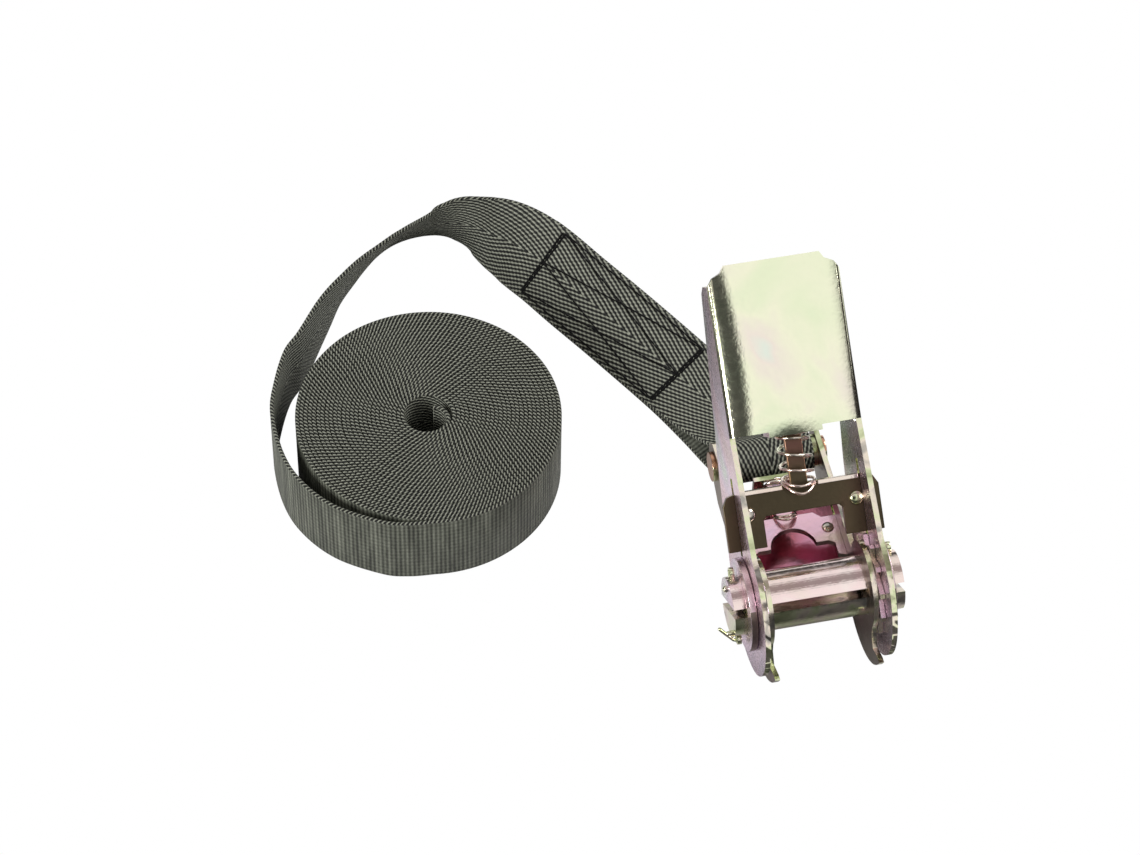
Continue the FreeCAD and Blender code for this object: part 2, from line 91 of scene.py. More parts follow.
def ramp(tree, factor, stops, mode="LINEAR"):
    node = addNode(tree, "ShaderNodeValToRGB")
    node.color_ramp.interpolation = mode
    elements = node.color_ramp.elements
    while len(elements) < len(stops):
        elements.new(0.5)
    for element, (place, color) in zip(elements, stops):
        element.position = place
        element.color = (*color, 1)
    tree.links.new(factor, node.inputs[0])
    return node.outputs[0]


def splitVector(tree, vector):
    node = addNode(tree, "ShaderNodeSeparateXYZ")
    tree.links.new(vector, node.inputs[0])
    return node.outputs


def noiseValue(tree, vector, **values):
    node = addNode(tree, "ShaderNodeTexNoise", values)
    tree.links.new(vector, node.inputs["Vector"])
    return node.outputs[0]


def bumpNormal(tree, height, strength, distance, beneath=None):
    node = addNode(tree, "ShaderNodeBump", {"Strength": strength, "Distance": distance})
    tree.links.new(height, node.inputs["Height"])
    if beneath is not None:
        tree.links.new(beneath, node.inputs["Normal"])
    return node.outputs[0]


def wave(tree, value, pitch):
    return mathNode(tree, "SINE", mathNode(tree, "MULTIPLY", value, 2 * math.pi / pitch))


def beyond(tree, first, second):
    return mathNode(tree, "MAXIMUM", mathNode(tree, "SUBTRACT", first, second), 0.0)


def squared(tree, value, factor):
    return mathNode(tree, "MULTIPLY", mathNode(tree, "MULTIPLY", value, value), factor)


# the weave's repeats in mm, and how strongly each one shows
weave = {
    "ribPitch": 3.8, "ribSlope": 3.1, "ribDepth": 0.42, "upperLevel": 0.54,
    "brickPitch": 4.6, "brickDepth": 0.17,
    "crossPitch": 1.25, "crossDepth": 0.11,
    "longPitch": 1.6, "longDepth": 0.03,
    "streakSpread": 0.12, "streakDepth": 0.44, "lowerLevel": 0.36,
    "yarnPitch": 1.25, "yarnSlope": 0.75, "yarnShake": 0.35, "yarnDepth": 0.42, "edgeLevel": 0.50,
    "shake": 0.7, "grain": 0.22,
}


def webbingMaterial():
    # herringbone ribs on the upper face, fine cross ribs beneath, slanted yarns on the selvedge
    material, tree, shader = newMaterial("webbing")
    place = addNode(tree, "ShaderNodeTexCoord").outputs["Object"]
    across, along = splitVector(tree, addNode(tree, "ShaderNodeUVMap", uv_map="along").outputs[0])[:2]
    through, kind = splitVector(tree, addNode(tree, "ShaderNodeUVMap", uv_map="through").outputs[0])[:2]
    drift = noiseValue(tree, place, Scale=260.0, Detail=2.0)
    shake = mathNode(tree, "MULTIPLY_ADD", drift, 2 * weave["shake"], -weave["shake"])
    # upper face
    away = mathNode(tree, "ABSOLUTE", across)
    phase = mathNode(tree, "MULTIPLY_ADD", away, weave["ribSlope"], shake)
    phase = mathNode(tree, "ADD", phase, along)
    rib = wave(tree, phase, weave["ribPitch"])
    downRib = mathNode(tree, "MULTIPLY_ADD", along, -weave["ribSlope"], away)
    skew = mathNode(tree, "MULTIPLY", phase, math.pi / weave["ribPitch"])
    brick = mathNode(tree, "MULTIPLY_ADD", downRib, 2 * math.pi / weave["brickPitch"], skew)
    upper = mathNode(tree, "MULTIPLY_ADD", rib, weave["ribDepth"], weave["upperLevel"])
    upper = mathNode(tree, "MULTIPLY_ADD", mathNode(tree, "SINE", brick), weave["brickDepth"], upper)
    # lower face
    spread = addNode(tree, "ShaderNodeCombineXYZ")
    tree.links.new(mathNode(tree, "MULTIPLY", across, weave["streakSpread"]), spread.inputs[0])
    tree.links.new(along, spread.inputs[1])
    streak = noiseValue(tree, spread.outputs[0], Scale=0.35, Detail=2.0)
    lower = mathNode(tree, "MULTIPLY_ADD", streak, weave["streakDepth"], weave["lowerLevel"])
    for value, part in ((across, "long"), (along, "cross")):
        ribs = wave(tree, value, weave[part + "Pitch"])
        lower = mathNode(tree, "MULTIPLY_ADD", ribs, weave[part + "Depth"], lower)
    # selvedge
    yarn = mathNode(tree, "MULTIPLY_ADD", shake, weave["yarnShake"], along)
    yarn = mathNode(tree, "MULTIPLY_ADD", through, weave["yarnSlope"], yarn)
    yarn = wave(tree, yarn, weave["yarnPitch"])
    edge = mathNode(tree, "MULTIPLY_ADD", yarn, weave["yarnDepth"], weave["edgeLevel"])
    isUpper = mathNode(tree, "GREATER_THAN", kind, 0.75)
    isLower = mathNode(tree, "LESS_THAN", kind, 0.25)
    isEdge = mathNode(tree, "SUBTRACT", mathNode(tree, "SUBTRACT", 1.0, isUpper), isLower)
    height = mathNode(tree, "MULTIPLY", upper, isUpper)
    height = mathNode(tree, "MULTIPLY_ADD", lower, isLower, height)
    height = mathNode(tree, "MULTIPLY_ADD", edge, isEdge, height)
    grain = noiseValue(tree, place, Scale=1500.0, Detail=3.0)
    height = mathNode(tree, "SUBTRACT", height, weave["grain"] / 2)
    mixed = mathNode(tree, "MULTIPLY_ADD", grain, weave["grain"], height)
    # the colour follows the weave's height: painted shade, near black, in its hollows and lighter on its ribs
    color = ramp(tree, mixed, [
        (0.24, (0.003, 0.003, 0.003)),
        (0.46, (0.032, 0.034, 0.026)),
        (0.66, (0.115, 0.122, 0.095)),
        (0.95, (0.310, 0.320, 0.260)),
    ])
    tree.links.new(color, shader.inputs["Base Color"])
    shader.inputs["Roughness"].default_value = 0.6
    shader.inputs["Specular IOR Level"].default_value = 0.3
    tree.links.new(bumpNormal(tree, mixed, 0.8, 0.0005), shader.inputs["Normal"])
    return material


# where the grip's flat starts to fall away, in mm, and how fast
pressed = {
    "middleX": -1.0, "middleY": 62.0, "narrowing": 0.085,
    "leftX": -10.2, "leftCurve": -0.0022, "leftFall": 0.030,
    "rightX": 13.5, "rightFall": 0.05,
    "lowY": 50.0, "lowFall": 0.036,
}


def pressedNormal(tree, place):
    # the grip's flat is not quite flat: it falls away towards its left fold and its tab
    turned = addNode(tree, "ShaderNodeVectorRotate", rotation_type="X_AXIS")
    turned.inputs["Angle"].default_value = math.radians(-handleTilt)
    tree.links.new(place, turned.inputs["Vector"])
    parts = splitVector(tree, turned.outputs[0])
    x, y = (mathNode(tree, "MULTIPLY", part, 1 / millimetre) for part in parts[:2])
    fromMiddle = mathNode(tree, "SUBTRACT", y, pressed["middleY"])
    edge = mathNode(tree, "ADD", squared(tree, fromMiddle, pressed["leftCurve"]), pressed["leftX"])
    left = squared(tree, beyond(tree, edge, x), pressed["leftFall"])
    right = squared(tree, beyond(tree, x, pressed["rightX"]), pressed["rightFall"])
    low = squared(tree, beyond(tree, pressed["lowY"], y), pressed["lowFall"])
    aside = mathNode(tree, "ABSOLUTE", mathNode(tree, "SUBTRACT", x, pressed["middleX"]))
    aside = mathNode(tree, "MULTIPLY", aside, pressed["narrowing"])
    middle = mathNode(tree, "SUBTRACT", 1.0, aside, clamp=True)
    dip = mathNode(tree, "MULTIPLY", low, middle)
    total = mathNode(tree, "ADD", mathNode(tree, "ADD", left, right), dip)
    return bumpNormal(tree, mathNode(tree, "MULTIPLY", total, -millimetre), 1.0, 1.0)


def zincMaterial(name, film):
    # passivated zinc: a mirror-like metal whose film shifts through colours in soft clouds
    material, tree, shader = newMaterial(name)
    place = addNode(tree, "ShaderNodeTexCoord").outputs["Object"]
    cloud = noiseValue(tree, place, Scale=film.get("scale", 28.0), Detail=3.0, Roughness=0.5, Distortion=0.6)
    tree.links.new(ramp(tree, cloud, film["stops"]), shader.inputs["Base Color"])
    shader.inputs["Metallic"].default_value = 1.0
    fine = noiseValue(tree, place, Scale=900.0, Detail=3.0)
    rough = mathNode(tree, "MULTIPLY_ADD", fine, 0.12, film["roughness"] - 0.06)
    tree.links.new(rough, shader.inputs["Roughness"])
    beneath = pressedNormal(tree, place) if film.get("pressed") else None
    tree.links.new(bumpNormal(tree, fine, 0.30, 0.0002, beneath), shader.inputs["Normal"])
    return material


films = {
    "pale": {"roughness": 0.16, "pressed": True, "stops": [
        (0.30, (0.66, 0.82, 0.60)), (0.44, (0.82, 0.88, 0.62)), (0.55, (0.90, 0.90, 0.68)),
        (0.66, (0.88, 0.80, 0.70)), (0.76, (0.74, 0.86, 0.76))]},
    "lilac": {"roughness": 0.28, "stops": [
        (0.30, (0.66, 0.54, 0.48)), (0.46, (0.84, 0.64, 0.72)), (0.58, (0.76, 0.64, 0.76)),
        (0.70, (0.66, 0.74, 0.66))]},
    "orchid": {"roughness": 0.24, "stops": [
        (0.30, (0.72, 0.60, 0.46)), (0.44, (0.86, 0.56, 0.66)), (0.56, (0.76, 0.58, 0.74)),
        (0.68, (0.58, 0.76, 0.58))]},
    "rosy": {"roughness": 0.11, "stops": [
        (0.30, (0.84, 0.74, 0.62)), (0.48, (0.92, 0.74, 0.72)), (0.62, (0.94, 0.90, 0.82)),
        (0.74, (0.80, 0.84, 0.68))]},
    # shaded rose for the base web: its pink film darkened as painted shade
    "shaded_rose": {"roughness": 0.22, "stops": [
        (0.28, (0.36, 0.10, 0.12)), (0.45, (0.62, 0.26, 0.36)), (0.60, (0.58, 0.34, 0.46)),
        (0.75, (0.60, 0.56, 0.38))]},
    # shaded brown for the drive pawl plate: painted shade, the zinc darkened to near black
    "shaded_brown": {"roughness": 0.34, "stops": [
        (0.30, (0.050, 0.042, 0.026)), (0.50, (0.085, 0.066, 0.040)), (0.70, (0.150, 0.075, 0.060))]},
    # shaded stem colour for the drive pawl's tang: painted shade in brown
    "shaded_stem": {"roughness": 0.32, "stops": [
        (0.30, (0.30, 0.17, 0.08)), (0.50, (0.36, 0.22, 0.11)), (0.70, (0.36, 0.20, 0.14))]},
    # shaded umber for side faces, cut edges and rims: painted shade, not the zinc's own colour
    "shaded_umber": {"roughness": 0.32, "stops": [
        (0.30, (0.19, 0.16, 0.13)), (0.50, (0.30, 0.25, 0.21)), (0.70, (0.34, 0.23, 0.24))]},
    "green": {"roughness": 0.13, "scale": 120.0, "stops": [
        (0.32, (0.34, 0.38, 0.20)), (0.46, (0.74, 0.78, 0.50)), (0.56, (0.84, 0.74, 0.62)),
        (0.66, (0.40, 0.38, 0.34))]},
    "wire": {"roughness": 0.16, "stops": [
        (0.35, (0.74, 0.54, 0.46)), (0.55, (0.88, 0.80, 0.70)), (0.70, (0.70, 0.74, 0.54))]},
    "copper": {"roughness": 0.22, "stops": [
        (0.30, (0.40, 0.19, 0.11)), (0.60, (0.60, 0.36, 0.24)), (0.80, (0.60, 0.58, 0.40))]},
}
metals = {name: zincMaterial("zinc " + name, film) for name, film in films.items()}
webbingCloth = webbingMaterial()
threadMaterial, _, threadShader = newMaterial("thread")
threadShader.inputs["Base Color"].default_value = (0.006, 0.006, 0.006, 1)
threadShader.inputs["Roughness"].default_value = 0.7
threadShader.inputs["Specular IOR Level"].default_value = 0.1

print("stage: materials")


# metal pieces: the CAD shapes with softened edges, folds rounded, and films by the way a face looks, where
# the umber, dark rose, brown and stem films are painted shade rather than the zinc's own colour

pieces = {
    # base: the umber side plates and the dark rose web are painted shade
    "base_frame": {"films": ("shaded_umber", "shaded_rose", "green"), "body": "base"},
    "webbing_bolt": {"films": ("copper", "copper", "green"), "body": "base"},
    "bolt_spacer": {"films": ("green", "green", "green"), "body": "base"},
    # lock pawl: the umber sides and edges are painted shade
    "lock_pawl": {"films": ("shaded_umber", "orchid", "shaded_umber", "green"), "body": "lock_pawl_body"},
    "handle_frame": {"films": ("lilac", "pale", "green"), "body": "handle", "tilt": handleTilt},
    # drive pawl: the brown plate and the stem-coloured tang are painted shade
    "drive_pawl": {
        "films": ("shaded_brown", "shaded_brown", "green", "shaded_stem", "wire"), "body": "drive_pawl_body", "tilt": handleTilt},
    "mandrel_half_upper": {"films": ("lilac", "rosy", "rosy"), "body": "mandrel"},
    "mandrel_half_lower": {"films": ("green", "green", "green"), "body": "mandrel"},
    "ratchet_wheel_left": {"films": ("lilac", "lilac", "green"), "body": "mandrel"},
    "ratchet_wheel_right": {"films": ("lilac", "lilac", "green"), "body": "mandrel"},
    # washers: the umber rims are painted shade in the gaps beside them
    "retaining_washer_left": {"films": ("lilac", "lilac", "shaded_umber"), "body": "mandrel"},
    "retaining_washer_right": {"films": ("lilac", "lilac", "shaded_umber"), "body": "mandrel"},
    "cotter_pin_left_upper": {"films": ("green", "green", "green"), "body": "mandrel"},
    "cotter_pin_right_upper": {"films": ("green", "green", "green"), "body": "mandrel"},
    "cotter_pin_left_lower": {"films": ("green", "green", "green"), "body": "mandrel"},
    "cotter_pin_right_lower": {"films": ("green", "green", "green"), "body": "mandrel"},
}


def turnX(degrees):
    return Matrix.Rotation(math.radians(degrees), 4, "X")


def linkObject(name, mesh, body, stands):
    item = bpy.data.objects.new(name, mesh)
    bpy.context.scene.collection.objects.link(item)
    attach(item, body)
    if stands:
        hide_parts(*stands)
    return item


def foldEdges(mesh, x, z, fromY, toY):
    # edges along Y at a fold, in mm
    found = []
    for edge in mesh.edges:
        ends = [vertex.co / millimetre for vertex in edge.verts]
        onFold = all(abs(abs(end.x) - x) < 0.06 and abs(end.z - z) < 0.06 for end in ends)
        if onFold and all(fromY <= end.y <= toY for end in ends):
            found.append(edge)
    return found


def eased(four, share):
    a, b, c, d = four
    bend = a * 2 - b * 5 + c * 4 - d
    turn = b * 3 - a - c * 3 + d
    spot = (b * 2 + (c - a) * share + bend * share ** 2 + turn * share ** 3) * 0.5
    heading = ((c - a) + bend * (2 * share) + turn * (3 * share ** 2)) * 0.5
    return spot, heading


def addDome(mesh, spot, radius, height, film):
    shape = Matrix.Translation(spot) @ Matrix.Diagonal((1, 1, height / radius, 1))
    made = bmesh.ops.create_uvsphere(
        mesh, u_segments=24, v_segments=14, radius=radius * millimetre, matrix=shape)
    for face in {face for vertex in made["verts"] for face in vertex.link_faces}:
        face.material_index = film
        face.smooth = True


def addTube(mesh, spots, radius, film, sides=12):
    # a round bar through the given places, rounded at its two ends
    headings = []
    for index in range(len(spots)):
        before, after = spots[max(index - 1, 0)], spots[min(index + 1, len(spots) - 1)]
        headings.append((after - before).normalized())
    across = headings[0].orthogonal().normalized()
    rings = []
    caps = [(0, -0.9, 0.35), (0, -0.5, 0.85)]
    caps += [(index, 0.0, 1.0) for index in range(len(spots))]
    caps += [(len(spots) - 1, 0.5, 0.85), (len(spots) - 1, 0.9, 0.35)]
    for index, beyond, share in caps:
        heading = headings[index]
        across = (across - heading * across.dot(heading)).normalized()
        other = heading.cross(across)
        middle = spots[index] + heading * beyond * radius * millimetre
        ring = []
        for step in range(sides):
            angle = 2 * math.pi * step / sides
            outward = across * math.cos(angle) + other * math.sin(angle)
            ring.append(mesh.verts.new(middle + outward * radius * share * millimetre))
        rings.append(ring)
    made = [mesh.faces.new(reversed(rings[0])), mesh.faces.new(rings[-1])]
    for low, high in zip(rings, rings[1:]):
        for step in range(sides):
            after = (step + 1) % sides
            made.append(mesh.faces.new((low[step], low[after], high[after], high[step])))
    for face in made:
        face.material_index = film
        face.smooth = True


def smoothPath(spots, between=6):
    full = [spots[0] * 2 - spots[1]] + list(spots) + [spots[-1] * 2 - spots[-2]]
    path = []
    for index in range(len(spots) - 1):
        for step in range(between):
            path.append(eased(full[index:index + 4], step / between)[0])
    return path + [spots[-1]]


pinTilt = math.radians(38)
pinLegs = [
    {"through": [(-22.2, -8.6), (-22.3, -10.2), (-23.6, -9.6), (-25.6, -7.6), (-27.2, -5.9)], "radius": 0.5},
    {"through": [(-20.8, -7.4), (-23.0, -7.5), (-24.9, -7.6)], "radius": 0.75},
    {"through": [(-22.6, 5.0), (-24.2, 5.2)], "radius": 1.0},
]
domes = {
    "drive_pawl": {"x": 15.3, "y": 24.4, "z": 2.6, "radius": 2.0, "film": 2},
    "lock_pawl": {"x": 10.9, "y": 25.0, "z": -5.6, "radius": 1.7, "film": 3},
}
domeHeight = 1.0
gripFolds = [
    {"x": 18.5, "z": 8.5, "offset": 3.4, "segments": 10, "profile": 0.62},
    {"x": 17.0, "z": 7.0, "offset": 0.9, "segments": 4, "profile": 0.5},
]
gripFrom, gripTo = 46, 89
edgeSoftness = 0.16
smoothBelow = 12 * millimetre ** 2


def pinSpot(x, along):
    return point(x, along * math.sin(pinTilt), along * math.cos(pinTilt))


def filmIndex(name, face):
    # 0 for faces that look sideways, 1 for level ones and 2 for the rest, with exceptions by place; where a
    # piece's film for a slot is a shade film, those faces get painted shade
    normal, middle = face.normal, face.calc_center_median() / millimetre
    level = abs(normal.z) > 0.7
    if name == "drive_pawl" and middle.y > 31.2:
        return 3
    if name == "drive_pawl" and middle.y > 29.7 and middle.z > 2.65:
        return 4
    if name == "handle_frame":
        onGrip = middle.y > gripFrom and middle.z > 6.0
        if onGrip and abs(normal.y) < 0.6:
            return 1
        level = level and onGrip
    if name == "base_frame":
        level = abs(middle.x) < 13.9 and middle.z < -10
    if abs(normal.x) > 0.7:
        return 0
    return 1 if level else 2


def softMesh(name, settings):
    mesh = bmesh.new()
    mesh.from_mesh(nodes[name].data)
    bmesh.ops.remove_doubles(mesh, verts=mesh.verts, dist=0.000002)
    tilt = settings.get("tilt", 0.0)
    if tilt:
        bmesh.ops.transform(mesh, matrix=turnX(-tilt), verts=mesh.verts)
    bmesh.ops.dissolve_limit(mesh, angle_limit=math.radians(1.0), verts=mesh.verts, edges=mesh.edges)
    for fold in gripFolds if name == "handle_frame" else []:
        bmesh.ops.bevel(
            mesh, geom=foldEdges(mesh, fold["x"], fold["z"], gripFrom, gripTo), affect="EDGES",
            offset=fold["offset"] * millimetre, segments=fold["segments"], profile=fold["profile"])
    sharp = [edge for edge in mesh.edges
             if len(edge.link_faces) == 2 and edge.calc_face_angle(0) > math.radians(40)]
    bmesh.ops.bevel(mesh, geom=sharp, offset=edgeSoftness * millimetre, segments=2, profile=0.5,
                    affect="EDGES", clamp_overlap=True)
    for face in mesh.faces:
        face.smooth = face.calc_area() < smoothBelow
        face.material_index = filmIndex(name, face)
    if name in domes:
        dome = domes[name]
        for side in (-1, 1):
            spot = point(dome["x"] * side, dome["y"], dome["z"])
            addDome(mesh, spot, dome["radius"], domeHeight, dome["film"])
    if name == "cotter_pin_left_lower":
        for leg in pinLegs:
            addTube(mesh, [pinSpot(*spot) for spot in leg["through"]], leg["radius"], 2)
    if tilt:
        bmesh.ops.transform(mesh, matrix=turnX(tilt), verts=mesh.verts)
    result = bpy.data.meshes.new(name + "_look")
    mesh.to_mesh(result)
    mesh.free()
    return result


for name, settings in pieces.items():
    look = softMesh(name, settings)
    for film in settings["films"]:
        look.materials.append(metals[film])
    item = linkObject(name + "_look", look, settings["body"], [name])
    weighted = item.modifiers.new("weighted", "WEIGHTED_NORMAL")
    weighted.keep_sharp = True

# each coil's height in mm at every quarter turn, the first in front of its stem
springs = {
    "drive_pawl_spring": {
        "radius": 4.5, "wire": 0.44, "z": 1.7, "tilt": handleTilt, "body": "handle",
        "heights": (
            44.95, 44.95, 44.6, 44.2, 43.7, 42.8, 41.6, 40.3, 38.9, 37.9, 36.9, 35.8, 34.6, 33.8, 33.0, 32.2,
            30.3, 31.6, 31.9, 31.5, 28.2, 31.5, 31.6),
        "joint": "drive_pawl_slide", "anchor": 45.46,
    },
    "lock_pawl_spring": {
        "radius": 3.3, "wire": 0.40, "z": -6.55, "tilt": 0.0, "body": "base",
        "heights": (
            42.9, 42.9, 42.8, 42.4, 41.9, 41.0, 40.2, 39.4, 38.6, 37.8, 37.0, 36.2, 35.4, 34.6, 33.8, 33.0,
            32.3, 32.2, 32.0, 31.5, 29.4, 31.5, 31.6, 31.5, 28.2, 31.5),
        "joint": "lock_pawl_slide", "anchor": 43.35,
    },
}


def springMesh(name, settings):
    rounds = [Vector((index, height, 0)) for index, height in enumerate(settings["heights"])]
    spots = []
    for spot in smoothPath(rounds, 10):
        angle = math.pi / 2 * spot.x
        spots.append(turnX(settings["tilt"]) @ point(
            settings["radius"] * math.sin(angle), spot.y,
            settings["z"] + settings["radius"] * math.cos(angle)))
    mesh = bmesh.new()
    addTube(mesh, spots, settings["wire"], 0)
    result = bpy.data.meshes.new(name + "_look")
    mesh.to_mesh(result)
    mesh.free()
    result.materials.append(metals["wire"])
    return result


for name, settings in springs.items():
    item = linkObject(name + "_look", springMesh(name, settings), settings["body"], [name])
    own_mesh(item)
print("stage: metal pieces")


# webbing: one band from the roll's heart, out and round, over the bolt and back beneath itself

webbing = {
    "width": 25.0,
    "thick": 1.12,
    "clearance": 0.02,
    "rollX": -92.7,
    "rollY": 80.8,
    "first": 6.3,
    "last": 37.91,
    "turns": 26.4,
    "stepsPerTurn": 120,
    "leaveAngle": 262.0,
    "flapDepth": 3.4,
    "flapTurns": 0.24,
    "wobble": 0.10,
    "lift": 0.35,
    "eyeY": 52.0,
    "eyeZ": -5.2,
    "eyeRadius": 5.45,
    "eyeStart": 55.0,
    "eyeSweep": 192.0,
    "eyeSteps": 24,
    "layerGap": 0.06,
}
standing = floorLevel + webbing["width"] / 2 + webbing["clearance"]


def uneven(angle, spread, depth):
    return noise.noise(Vector((math.cos(angle) * spread, math.sin(angle) * spread, depth)))


def rollTrack():
    track = []
    turns = webbing["turns"]
    count = int(turns * webbing["stepsPerTurn"])
    for step in range(count):
        turn = turns * step / count
        angle = math.radians(webbing["leaveAngle"]) + 2 * math.pi * (turns - turn)
        fade = min(1.0, (turns - turn) * 3)
        radius = webbing["first"] + (webbing["last"] - webbing["first"]) * turn / turns
        radius += webbing["wobble"] * uneven(angle, 1.2, turn * 0.8) * fade
        radius -= webbing["flapDepth"] * max(0.0, 1 - turn / webbing["flapTurns"]) ** 1.4
        lift = webbing["lift"] * abs(uneven(angle, 0.9, turn * 1.7 + 9)) * fade
        spot = Vector((
            webbing["rollX"] + radius * math.cos(angle),
            webbing["rollY"] + radius * math.sin(angle),
            standing + lift))
        track.append((spot, Vector((0, 0, 1))))
    return track


# places in mm along the free run, each with the direction its upper edge leans to

def runPlaces():
    places = []
    up = Vector((0, 0, 1))
    for degrees, radius in (
            (273, 37.9), (262, 37.91), (251, 38.9), (240, 39.8), (220, 41.3), (202, 42.5),
            (186, 43.1), (167, 44.2), (153, 45.1), (139, 47.2), (129, 48.3)):
        angle = math.radians(degrees)
        x = webbing["rollX"] + radius * math.cos(angle)
        y = webbing["rollY"] + radius * math.sin(angle)
        places.append((Vector((x, y, standing)), up))
    for x, y, leanX, leanY in (
            (-115.6, 129.8, 0.0, -0.10), (-109.4, 138.0, 0.09, -0.20), (-103.9, 144.8, 0.19, -0.25),
            (-97.3, 151.0, 0.26, -0.30), (-91.1, 156.5, 0.29, -0.39), (-84.6, 160.5, 0.27, -0.46),
            (-76.6, 162.3, 0.20, -0.46), (-70.7, 161.4, 0.20, -0.33), (-65.1, 158.9, 0.22, -0.15),
            (-59.8, 154.8, 0.32, 0.06)):
        leanZ = math.sqrt(1 - leanX ** 2 - leanY ** 2)
        height = webbing["width"] / 2 * leanZ + webbing["thick"] / 2 * math.sqrt(1 - leanZ ** 2)
        height += webbing["clearance"]
        places.append((Vector((x, y, floorLevel + height)), Vector((leanX, leanY, leanZ))))
    for x, y, height, leanX, leanY, leanZ in (
            (-53.4, 148.4, 12.6, 0.58, 0.30, 0.76), (-46.6, 139.4, 12.7, 0.756, 0.448, 0.475),
            (-39.3, 127.2, 12.6, 0.79, 0.42, 0.44), (-31.6, 114.6, 12.5, 0.82, 0.38, 0.41),
            (-24.2, 102.2, 12.3, 0.86, 0.34, 0.37), (-17.2, 90.3, 12.2, 0.90, 0.29, 0.31),
            (-10.8, 79.0, 12.8, 0.95, 0.24, 0.18), (-5.2, 69.0, 14.4, 0.99, 0.12, 0.06),
            (-1.0, 60.6, 17.4, 1.0, 0.02, 0.01)):
        places.append((Vector((x, y, floorLevel + height)), Vector((leanX, leanY, leanZ))))
    for degrees in (webbing["eyeStart"], 100.0):
        places.append(roundEye(degrees)[:2])
    return places


def roundEye(degrees):
    angle = math.radians(degrees)
    outward = Vector((0, math.cos(angle), math.sin(angle)))
    spot = Vector((0, webbing["eyeY"], webbing["eyeZ"])) + outward * webbing["eyeRadius"]
    return spot, Vector((1, 0, 0)), outward


def runFrames(between):
    places = runPlaces()
    route = []
    for index in range(1, len(places) - 2):
        near = places[index - 1:index + 3]
        for step in range(between):
            share = step / between
            spot, heading = eased([item[0] for item in near], share)
            lean = eased([item[1] for item in near], share)[0]
            face = heading.cross(lean).normalized()
            route.append((spot, heading, face.cross(heading).normalized(), index - 1 + share))
    frames = []
    for index, (spot, heading, side, place) in enumerate(route):
        # the twist is evened out over the neighbouring places
        if between <= index < len(route) - between:
            near = route[index - between:index + between + 1]
            side = sum((item[2] for item in near), Vector((0, 0, 0)))
        face = heading.cross(side).normalized()
        side = face.cross(heading).normalized()
        lowest = spot.z - webbing["width"] / 2 * side.z - webbing["thick"] / 2 * abs(face.z)
        spot.z += max(0.0, floorLevel + webbing["clearance"] - lowest)
        frames.append((spot, side, face, place))
    return frames


# how far the under layer hangs below the upper one in mm, place by place towards the bolt
sags = (0.0, 0.0, 0.9, 4.2, 7.9, 9.0, 9.0)
sagFrom = 23.0
layerFrom, layerTo = 20.6, 28.0


def sagAt(place):
    spot = min(max(place - sagFrom, 0.0), 4.999)
    index = int(spot)
    near = (sags[max(index - 1, 0)], sags[index], sags[index + 1], sags[index + 2])
    return max(0.0, eased([Vector((value, 0, 0)) for value in near], spot - index)[0].x)


def bandFrames():
    frames = []
    track = rollTrack()
    for index, (spot, up) in enumerate(track):
        before = track[max(index - 1, 0)][0]
        after = track[min(index + 1, len(track) - 1)][0]
        heading = (after - before).normalized()
        frames.append((spot, up, heading.cross(up).normalized()))
    run = runFrames(14)
    frames += [item[:3] for item in run]
    for step in range(webbing["eyeSteps"]):
        frames.append(roundEye(webbing["eyeStart"] + webbing["eyeSweep"] * step / (webbing["eyeSteps"] - 1)))
    back = [item for item in run if layerFrom <= item[3] <= layerTo]
    for spot, side, face, place in reversed(back):
        drop = webbing["thick"] + webbing["layerGap"] + sagAt(place)
        frames.append((spot - face * drop, side, -face))
    return frames, run


def bandMesh(name, frames, width, thick):
    # a woven band: flat faces with rounded selvedges, across and along kept in mm on its UV map
    half, rim = width / 2, thick / 2
    ring = [(-half + 0.45, -rim), (0, -rim), (half - 0.45, -rim),
            (half - 0.08, -rim * 0.6), (half, 0), (half - 0.08, rim * 0.6),
            (half - 0.45, rim), (0, rim), (-half + 0.45, rim),
            (-half + 0.08, rim * 0.6), (-half, 0), (-half + 0.08, -rim * 0.6)]
    vertices, faces, marks = [], [], []
    along = 0.0
    count = len(ring)
    for index, (spot, side, face) in enumerate(frames):
        if index:
            along += (spot - frames[index - 1][0]).length
        marks.append(along)
        for across, up in ring:
            vertices.append((spot + side * across + face * up) * millimetre)
    for index in range(len(frames) - 1):
        for corner in range(count):
            after = (corner + 1) % count
            low, high = index * count, (index + 1) * count
            faces.append((low + corner, low + after, high + after, high + corner))
    faces.append(tuple(reversed(range(count))))
    faces.append(tuple(range((len(frames) - 1) * count, len(frames) * count)))
    mesh = bpy.data.meshes.new(name)
    mesh.from_pydata(vertices, [], faces)
    layer = mesh.uv_layers.new(name="along")
    depth = mesh.uv_layers.new(name="through")
    for polygon in mesh.polygons:
        polygon.use_smooth = True
        ups = [ring[mesh.loops[loop].vertex_index % count][1] for loop in polygon.loop_indices]
        kind = 1.0 if min(ups) > rim * 0.9 else 0.0 if max(ups) < -rim * 0.9 else 0.5
        for loop in polygon.loop_indices:
            vertex = mesh.loops[loop].vertex_index
            layer.data[loop].uv = (ring[vertex % count][0], marks[vertex // count])
            depth.data[loop].uv = (ring[vertex % count][1], kind)
    item = bpy.data.objects.new(name, mesh)
    bpy.context.scene.collection.objects.link(item)
    return item, along


frames, run = bandFrames()
band, bandLength = bandMesh("webbing_band", frames, webbing["width"], webbing["thick"])
band.data.materials.append(webbingCloth)
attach(band, "base")
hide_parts("webbing_roll", "webbing_run", "webbing_loop")
print("stage: webbing, length %.2f m" % (bandLength * millimetre))

# sewing: short thick stitches along rows, in places along the run and offsets across it

